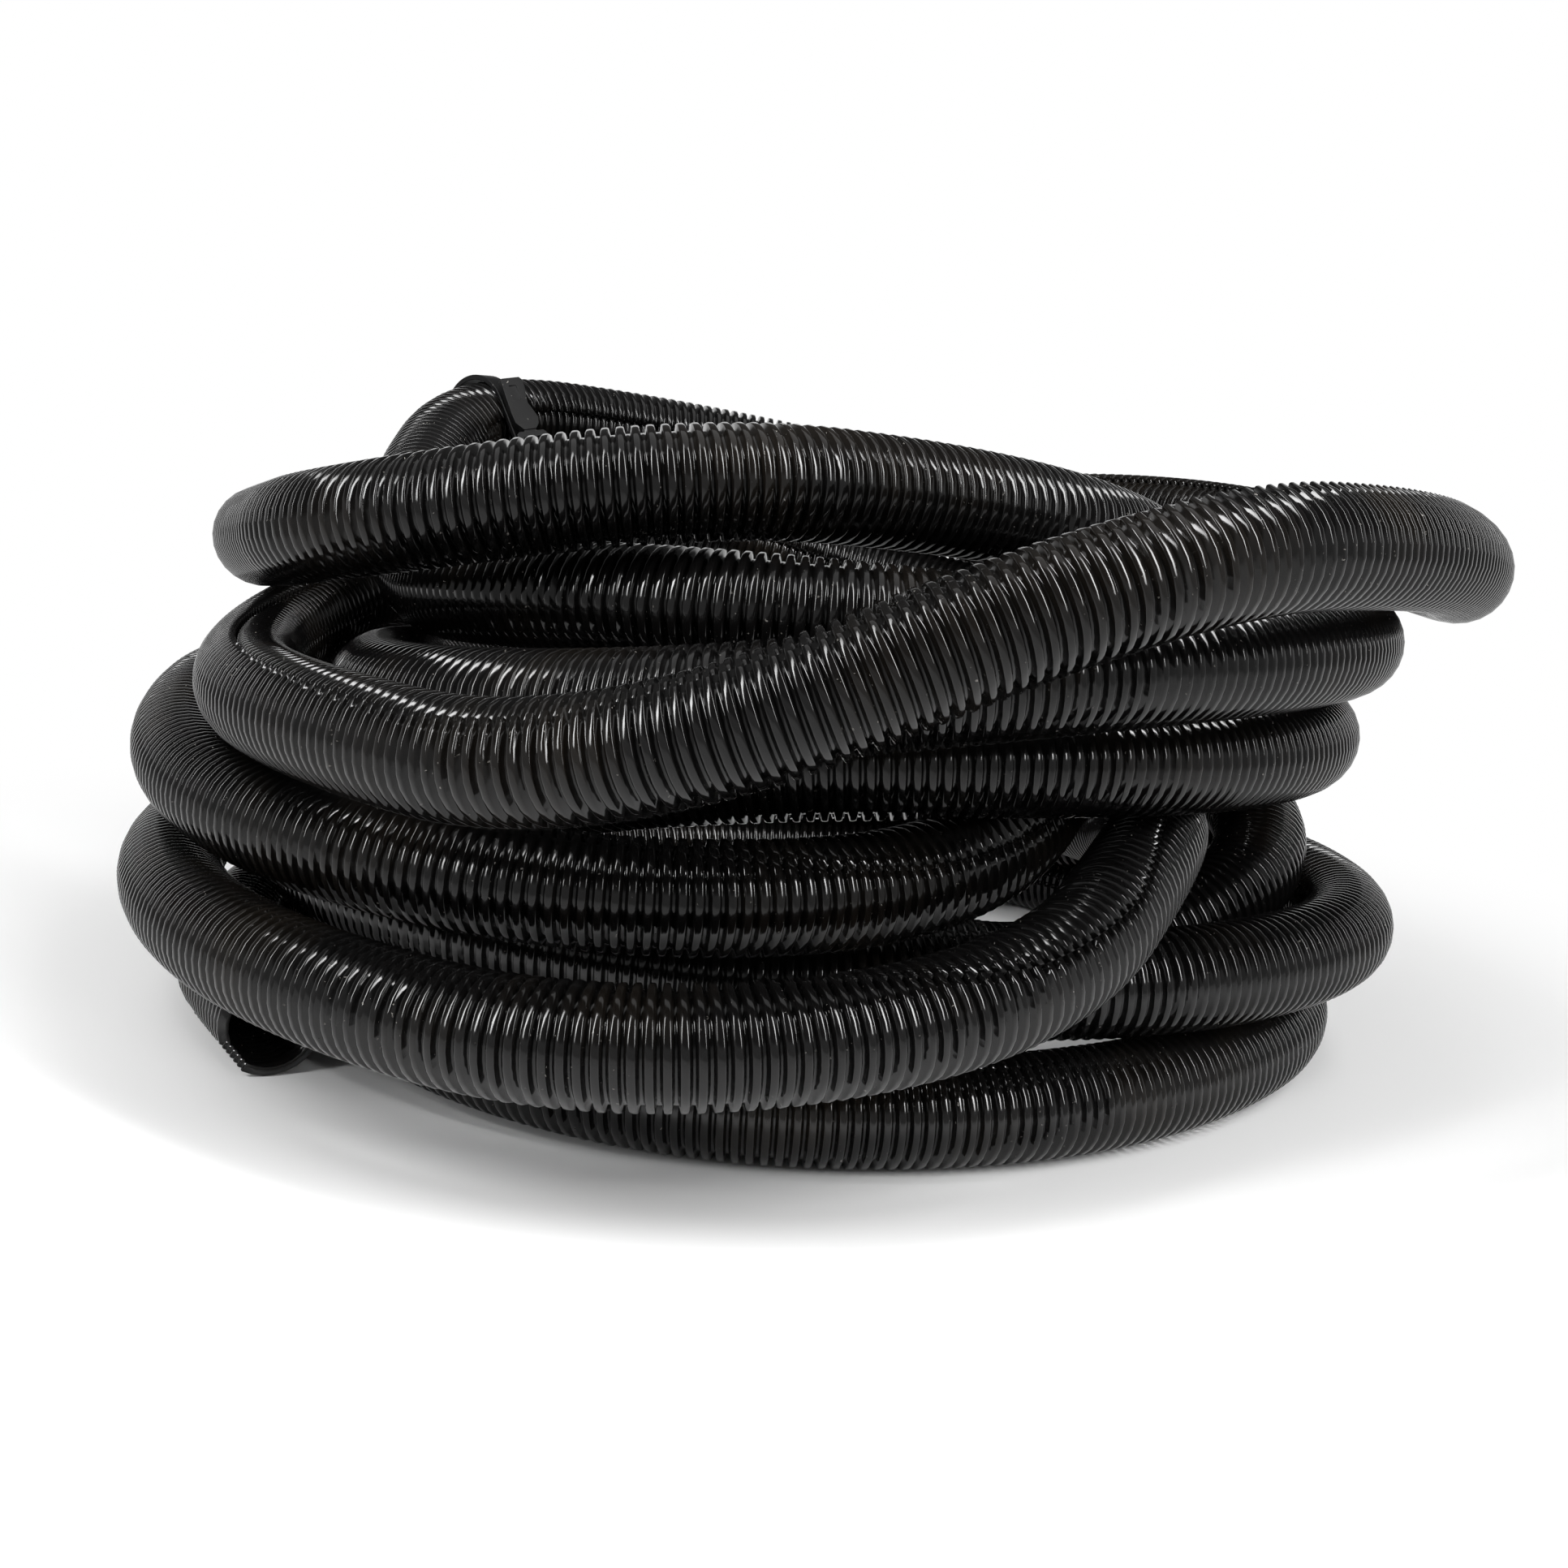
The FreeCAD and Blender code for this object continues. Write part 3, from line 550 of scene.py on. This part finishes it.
def plastic(name, colour, warm_colour, roughness, glare, grain_size, grain_depth, scratched):
    """Return a moulded plastic with fine grain, uneven gloss, warm patches and a few specks of dust."""
    material = bpy.data.materials.new(name)
    material.use_nodes = True
    tree = material.node_tree
    new, join = tree.nodes.new, tree.links.new
    shader = tree.nodes["Principled BSDF"]
    shader.inputs["IOR"].default_value = glare
    place = new("ShaderNodeTexCoord")
    grain, patches, warmth, dust, dirt = (new("ShaderNodeTexNoise") for k in range(5))
    for texture, size, detail in ((grain, grain_size, 6.0), (patches, patch_size, 4.0),
                                  (warmth, warmth_size, 3.0), (dust, dust_size, 1.0),
                                  (dirt, dirt_size, 3.0)):
        texture.inputs["Scale"].default_value = 1.0 / size
        texture.inputs["Detail"].default_value = detail
        join(place.outputs["Object"], texture.inputs["Vector"])

    def ranged(value, low, high, to_low=0.0, to_high=1.0):
        node = new("ShaderNodeMapRange")
        numbers = (("From Min", low), ("From Max", high), ("To Min", to_low), ("To Max", to_high))
        for socket, number in numbers:
            node.inputs[socket].default_value = number
        join(value, node.inputs["Value"])
        return node.outputs["Result"]

    def product(first, second):
        node = new("ShaderNodeMath")
        node.operation = "MULTIPLY"
        join(first, node.inputs[0])
        join(second, node.inputs[1])
        return node.outputs[0]

    def mixed(share, first, second):
        node = new("ShaderNodeMix")
        node.data_type = "RGBA"
        join(share, node.inputs[0])
        for socket, value in ((node.inputs[6], first), (node.inputs[7], second)):
            if isinstance(value, tuple):
                socket.default_value = (*value, 1.0)
            else:
                join(value, socket)
        return node.outputs[2]

    bump = new("ShaderNodeBump")
    bump.inputs["Strength"].default_value = grain_strength
    bump.inputs["Distance"].default_value = grain_depth
    join(grain.outputs["Fac"], bump.inputs["Height"])
    normal = bump.outputs["Normal"]
    if scratched:
        flat, stretch, lines = new("ShaderNodeUVMap"), new("ShaderNodeMapping"), new("ShaderNodeTexNoise")
        flat.uv_map = "hose_surface"
        stretch.inputs["Scale"].default_value = scratches_per_metre
        lines.inputs["Scale"].default_value = 1.0
        lines.inputs["Detail"].default_value = 2.0
        join(flat.outputs["UV"], stretch.inputs["Vector"])
        join(stretch.outputs["Vector"], lines.inputs["Vector"])
        drawn = new("ShaderNodeBump")
        drawn.inputs["Strength"].default_value = scratch_strength
        drawn.inputs["Distance"].default_value = scratch_depth
        join(lines.outputs["Fac"], drawn.inputs["Height"])
        join(normal, drawn.inputs["Normal"])
        normal = drawn.outputs["Normal"]
    join(normal, shader.inputs["Normal"])
    gloss = ranged(patches.outputs["Fac"], 0.3, 0.7, roughness * 0.8, roughness * 1.35)
    join(gloss, shader.inputs["Roughness"])
    base = mixed(ranged(warmth.outputs["Fac"], 0.5, 0.72), colour, warm_colour)
    specks = product(ranged(dust.outputs["Fac"], 0.735, 0.765), ranged(dirt.outputs["Fac"], 0.48, 0.62))
    join(mixed(specks, base, dust_colour), shader.inputs["Base Color"])
    return material


hose_plastic = plastic("hose_black_plastic", (0.0036, 0.0034, 0.0034), (0.0085, 0.0068, 0.0052),
                       roughness=0.10, glare=1.42, grain_size=0.0012, grain_depth=0.000008, scratched=True)
# The cut edges' lighter base colour is partly a painted highlight for the light that cut edges catch, and
# partly the duller, rougher cut plastic.
cut_plastic_painted_highlight = plastic("hose_cut_edge", (0.008, 0.0076, 0.0074), (0.013, 0.0115, 0.010),
                      roughness=0.46, glare=1.27, grain_size=0.0006, grain_depth=0.00003, scratched=False)
tie_nylon = plastic("tie_black_nylon", (0.0055, 0.0055, 0.0058), (0.007, 0.0068, 0.0065),
                    roughness=0.40, glare=1.27, grain_size=0.0009, grain_depth=0.00002, scratched=False)

# A plain tube stands for the hose's inner wall. It begins inside the two mouths,
# and the ribbed outside lies over it in twenty lengths, of which the first and the last have two faces.
core_curve = nurbs_line("hose_inner_wall", controls)
core_curve.bevel_depth = inner_wall_radius
core_curve.bevel_resolution = 6
core_curve.resolution_u = 6
core_curve.materials.append(hose_plastic)
core_curve.splines[0].points[0].co = (*(upper_mouth - end_run * upper_wall_depth), 1.0)
core_curve.splines[0].points[-1].co = (*(lower_mouth + start_run * lower_wall_depth), 1.0)
core_curve.splines[0].points[-2].co = (*(lower_mouth + start_run * (lower_wall_depth + lower_wall_lead)), 1.0)
hose_core = link("hose_inner_wall", core_curve)

line_mesh = bpy.data.meshes.new("hose_line")
line_mesh.from_pydata(route_points, [(i, i + 1) for i in range(len(route_points) - 1)], [])
slit_rows = slit_along(route_points)
for column, name in enumerate(("slit_side", "slit_opening", "slit_lift", "slit_shift")):
    values = line_mesh.attributes.new(name, "FLOAT", "POINT")
    values.data.foreach_set("value", [row[column] for row in slit_rows])
tree = hose_tree(hose_plastic)
rib_count = int(route_length / rib_pitch)
true_pitch = route_length / rib_count
ribs_per_piece = math.ceil(rib_count / hose_lengths)
hose_pieces = []
first_rib = 0
while first_rib < rib_count:
    ribs = min(ribs_per_piece, rib_count - first_rib)
    last_rib = first_rib + ribs
    maker = link("hose_maker", line_mesh.copy())
    modifier = maker.modifiers.new("Ribbed split hose", "NODES")
    modifier.node_group = tree
    set_input(modifier, "From", first_rib * true_pitch)
    set_input(modifier, "To", last_rib * true_pitch)
    set_input(modifier, "Ribs", ribs)
    bpy.context.view_layer.update()
    depsgraph = bpy.context.evaluated_depsgraph_get()
    made = bpy.data.meshes.new_from_object(maker.evaluated_get(depsgraph), depsgraph=depsgraph)
    bpy.data.objects.remove(maker)
    piece = link("hose_ribs_%02d" % (len(hose_pieces) + 1), made)
    made.materials.append(cut_plastic_painted_highlight)
    wall = piece.modifiers.new("Wall", "SOLIDIFY")
    wall.thickness = wall_thickness
    wall.offset = -1.0
    wall.use_rim = True
    wall.use_rim_only = 0 < first_rib and last_rib < rib_count
    wall.material_offset_rim = 1
    hose_pieces.append(piece)
    first_rib = last_rib
print("hose %.3f m, ribs %d, pieces %d, triangles in one %d"
      % (route_length, rib_count, len(hose_pieces), 2 * len(hose_pieces[1].data.polygons)))

# The tie's frame: x out of the hose, y across the strap, z up along the head and the lever
tie_place = Vector((-0.10870, 0.10619, 0.17380))
tie_out = Vector((0.62866, -0.52751, 0.57143))
tie_across = Vector((0.64279, 0.76604, 0.0))
tie_along = Vector((-0.43774, 0.36731, 0.82065))
tie_twist = math.radians(-16.0)
head_width, head_height, head_length = 0.012, 0.0075, 0.014
strap_width = 0.0076
pocket_rim = 0.0002
rounded_above = math.radians(40.0)
lever_length, lever_thickness = 0.022, 0.0024
tie_frame = Matrix((tie_out, tie_across, tie_along)).transposed().to_4x4()
twist_middle = Vector((head_height / 2.0, 0.0, 0.0))
tie_frame = (Matrix.Translation(tie_place) @ tie_frame @ Matrix.Translation(twist_middle)
             @ Matrix.Rotation(tie_twist, 4, "Z") @ Matrix.Translation(-twist_middle))


def plate(outline, low, high):
    """Return a mesh under construction: the outline (y, z) raised from x = low to x = high."""
    work = bmesh.new()
    face = work.faces.new([work.verts.new((low, y, z)) for y, z in outline])
    raised = bmesh.ops.extrude_face_region(work, geom=[face])
    for vertex in [item for item in raised["geom"] if isinstance(item, bmesh.types.BMVert)]:
        vertex.co.x = high
    bmesh.ops.recalc_face_normals(work, faces=work.faces)
    return work


def joined(parts):
    """Return one mesh of several meshes under construction, put in the tie's place."""
    whole = bmesh.new()
    for work in parts:
        part = bpy.data.meshes.new("tie_part")
        work.to_mesh(part)
        work.free()
        whole.from_mesh(part)
        bpy.data.meshes.remove(part)
    whole.transform(tie_frame)
    bmesh.ops.recalc_face_normals(whole, faces=whole.faces)
    mesh = bpy.data.meshes.new("tie_mesh")
    whole.to_mesh(mesh)
    whole.free()
    return mesh


def rounded(piece, width, segments):
    """Round the piece's sharp edges."""
    round_off = piece.modifiers.new("Round", "BEVEL")
    round_off.width, round_off.segments = width, segments
    round_off.limit_method, round_off.angle_limit = "ANGLE", rounded_above
    for polygon in piece.data.polygons:
        polygon.use_smooth = True
    weigh = piece.modifiers.new("Even", "WEIGHTED_NORMAL")
    weigh.keep_sharp = True


def pocket(work, thickness, depth, pick):
    """Sink a pocket with a narrow rim into the face that pick finds."""
    face = max(work.faces, key=pick)
    bmesh.ops.inset_region(work, faces=[face], thickness=thickness, depth=0.0)
    face = max(work.faces, key=pick)
    bmesh.ops.inset_region(work, faces=[face], thickness=pocket_rim, depth=-depth)


def outward_face(face):
    return face.normal.x * 100.0 + face.calc_center_median().x * 1000.0 + face.calc_area()


half = head_width / 2.0
block = plate([(-half, -0.0118), (-half + 0.0012, -head_length), (half - 0.0030, -head_length),
               (half, -0.0105), (half, -0.0010), (half - 0.0010, 0.0), (-half + 0.0010, 0.0),
               (-half, -0.0010)], 0.0, head_height)
pocket(block, 0.0026, 0.0012, outward_face)
pawl = plate([(-0.0022, -0.0092), (0.0022, -0.0092), (0.0022, -0.0052), (-0.0022, -0.0052)],
             head_height - 0.002, head_height - 0.0002)
bridge = plate([(-0.0024, -0.001), (0.0024, -0.001), (0.0024, 0.0008), (-0.0024, 0.0008)],
               head_height - lever_thickness + 0.0003, head_height - 0.0004)
tail = plate([(-strap_width / 2.0, -0.0200), (strap_width / 2.0, -0.0200), (strap_width / 2.0, -0.013),
              (-strap_width / 2.0, -0.013)], 0.0032, 0.0046)
tie_head = link("tie_head_block", joined([block, pawl, bridge, tail]))

face_level = head_height - lever_thickness
tab = plate([(-0.0025, 0.0007), (-0.0049, 0.0038), (-0.0050, 0.0076), (-0.0047, 0.0150), (-0.0043, 0.0215),
             (-0.0036, lever_length), (0.0034, lever_length), (0.0042, 0.0210), (0.0043, 0.0180),
             (0.0034, 0.0140), (0.0030, 0.0115), (0.0042, 0.0078), (0.0050, 0.0052),
             (0.0044, 0.0028), (0.0025, 0.0007)],
            face_level, head_height)
mark = plate([(-0.0019, 0.0128), (0.0010, 0.0128), (0.0010, 0.0188), (-0.0019, 0.0188)],
             head_height - 0.0004, head_height + 0.0006)
back = plate([(-0.0021, 0.0040), (-0.0026, 0.0190), (-0.0020, 0.0210), (0.0044, 0.0206), (0.0050, 0.0176),
              (0.0042, 0.0136), (0.0040, 0.0104), (0.0050, 0.0072), (0.0046, 0.0040)],
             face_level - 0.0019, face_level - 0.0006)
web = plate([(-0.0006, 0.0050), (-0.0006, 0.0195), (0.0020, 0.0195), (0.0020, 0.0050)],
            face_level - 0.0008, face_level + 0.0002)
recess_block = link("lever_mark", joined([mark]))
tie_lever = link("tie_lever_tab", joined([tab]))
cut = tie_lever.modifiers.new("Recess", "BOOLEAN")
cut.object, cut.solver = recess_block, "EXACT"
bpy.context.view_layer.update()
depsgraph = bpy.context.evaluated_depsgraph_get()
pressed = bpy.data.meshes.new_from_object(tie_lever.evaluated_get(depsgraph), depsgraph=depsgraph)
bpy.data.objects.remove(tie_lever)
bpy.data.objects.remove(recess_block)
whole = bmesh.new()
whole.from_mesh(pressed)
backing = joined([back, web])
whole.from_mesh(backing)
whole.to_mesh(pressed)
whole.free()
tie_lever = link("tie_lever_tab", pressed)

strap_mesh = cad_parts["tie_strap"].data.copy()
strap_work = bmesh.new()
strap_work.from_mesh(strap_mesh)
bmesh.ops.remove_doubles(strap_work, verts=strap_work.verts, dist=0.00002)
bmesh.ops.dissolve_limit(strap_work, angle_limit=math.radians(1.0), verts=strap_work.verts,
                         edges=strap_work.edges)
strap_work.to_mesh(strap_mesh)
strap_work.free()
tie_strap = link("tie_strap_band", strap_mesh)
for piece, width in ((tie_head, 0.0004), (tie_lever, 0.0003), (tie_strap, 0.0004)):
    piece.data.materials.clear()
    piece.data.materials.append(tie_nylon)
    rounded(piece, width, 3)

# Floor, sky and light. A range is (from, to, level at the first, level at the second).
floor_half_width = 60.0
lit_floor = (0.20, 0.46, 0.0, 1.0)
# Painted shade: the backdrop's glow falls to 0.45 on the camera's side.
backdrop_shade_range = (-1.8, -0.48, 0.45, 1.0)
sky_behind = (-0.9, 0.3, 0.39, 1.0)
sky_height = (0.24, 0.42, 0.9, 0.0)
sky_dimmest = 0.10
floor_mesh = bpy.data.meshes.new("floor")
floor_mesh.from_pydata([(x * floor_half_width, y * floor_half_width, 0.0)
                        for x, y in ((-1, -1), (1, -1), (1, 1), (-1, 1))], [], [(0, 1, 2, 3)])
floor = link("floor", floor_mesh)
floor_white = bpy.data.materials.new("floor_white")
floor_white.use_nodes = True
new, join = floor_white.node_tree.nodes.new, floor_white.node_tree.links.new
floor_shader = floor_white.node_tree.nodes["Principled BSDF"]
floor_shader.inputs["Base Color"].default_value = (0.94, 0.94, 0.94, 1.0)
floor_shader.inputs["Roughness"].default_value = 0.8
floor_shader.inputs["Specular IOR Level"].default_value = 0.1


def combined(operation, *sources):
    """Return the result of a math node in the floor's or the sky's tree."""
    node = new("ShaderNodeMath")
    node.operation = operation
    for socket, source in zip(node.inputs, sources):
        if isinstance(source, float):
            socket.default_value = source
        else:
            join(source, socket)
    return node.outputs[0]


def eased(source, numbers):
    """Return the source's value, eased from one range of numbers to another."""
    node = new("ShaderNodeMapRange")
    node.interpolation_type = "SMOOTHSTEP"
    for socket, number in zip(("From Min", "From Max", "To Min", "To Max"), numbers):
        node.inputs[socket].default_value = number
    join(source, node.inputs["Value"])
    return node.outputs["Result"]


# Near the hose the floor is lit and shaded. Further out it is the white backdrop, whose glow is turned down
# to grey
# on the side that the camera stands on: a painted shade, which the hose's lower flanks also reflect.
spot, reach, parts = new("ShaderNodeTexCoord"), new("ShaderNodeVectorMath"), new("ShaderNodeSeparateXYZ")
reach.operation = "LENGTH"
join(spot.outputs["Object"], reach.inputs[0])
join(spot.outputs["Object"], parts.inputs["Vector"])
beyond = combined("SUBTRACT", parts.outputs["Y"], combined("ABSOLUTE", parts.outputs["X"]))
level = eased(beyond, backdrop_shade_range)
path, white, blend = new("ShaderNodeLightPath"), new("ShaderNodeEmission"), new("ShaderNodeMixShader")
seen = combined("MAXIMUM", path.outputs["Is Camera Ray"], path.outputs["Is Glossy Ray"])
seen = combined("MAXIMUM", seen, path.outputs["Is Transmission Ray"])
join(combined("MULTIPLY", seen, level), white.inputs["Strength"])
join(eased(reach.outputs["Value"], lit_floor), blend.inputs["Fac"])
join(floor_shader.outputs["BSDF"], blend.inputs[1])
join(white.outputs["Emission"], blend.inputs[2])
join(blend.outputs["Shader"], floor_white.node_tree.nodes["Material Output"].inputs["Surface"])
floor_mesh.materials.append(floor_white)

world = bpy.data.worlds.new("studio")
bpy.context.scene.world = world
world.use_nodes = True
new, join = world.node_tree.nodes.new, world.node_tree.links.new
air = world.node_tree.nodes["Background"]
ray, split = new("ShaderNodeTexCoord"), new("ShaderNodeSeparateXYZ")
join(ray.outputs["Generated"], split.inputs["Vector"])
beyond = combined("SUBTRACT", split.outputs["Y"], combined("ABSOLUTE", split.outputs["X"]))
low = combined("MULTIPLY", eased(split.outputs["Z"], sky_height), eased(beyond, sky_behind))
join(combined("ADD", low, sky_dimmest), air.inputs["Strength"])
air.inputs["Color"].default_value = (1.0, 1.0, 1.0, 1.0)


def softbox(name, place, target, width, height, power, spread=180.0):
    """Put a soft rectangular light at place, facing target, with its light kept within the spread."""
    data = bpy.data.lights.new(name, "AREA")
    data.shape = "RECTANGLE"
    data.size, data.size_y, data.energy = width, height, power
    data.spread = math.radians(spread)
    lamp = link(name, data)
    away = Vector(place) - Vector(target)
    lamp.matrix_world = Matrix.Translation(place) @ away.to_track_quat("Z", "Y").to_matrix().to_4x4()


lit_place = (0.0, 0.0, 0.1)
softbox("left_strip", (-0.72, -0.74, 1.02), lit_place, width=0.20, height=1.5, power=5.0, spread=80.0)
softbox("right_strip", (0.72, -0.70, 1.02), lit_place, width=0.20, height=1.5, power=5.0, spread=80.0)
softbox("top_light", (0.0, 0.2, 2.6), lit_place, width=2.6, height=2.2, power=14.0)

for name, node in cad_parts.items():
    for material_slot in node.material_slots:
        material_slot.material = tie_nylon if name.startswith("tie") else hose_plastic

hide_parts("hose_coil", "hose_end_lower", "hose_end_upper")
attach(hose_core, "pile")
for piece in hose_pieces:
    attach(piece, "pile")
for piece, node, body in ((tie_strap, "tie_strap", "pile"), (tie_head, "tie_head", "pile"),
                          (tie_lever, "tie_release_lever", "lever")):
    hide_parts(node)
    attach(piece, body)
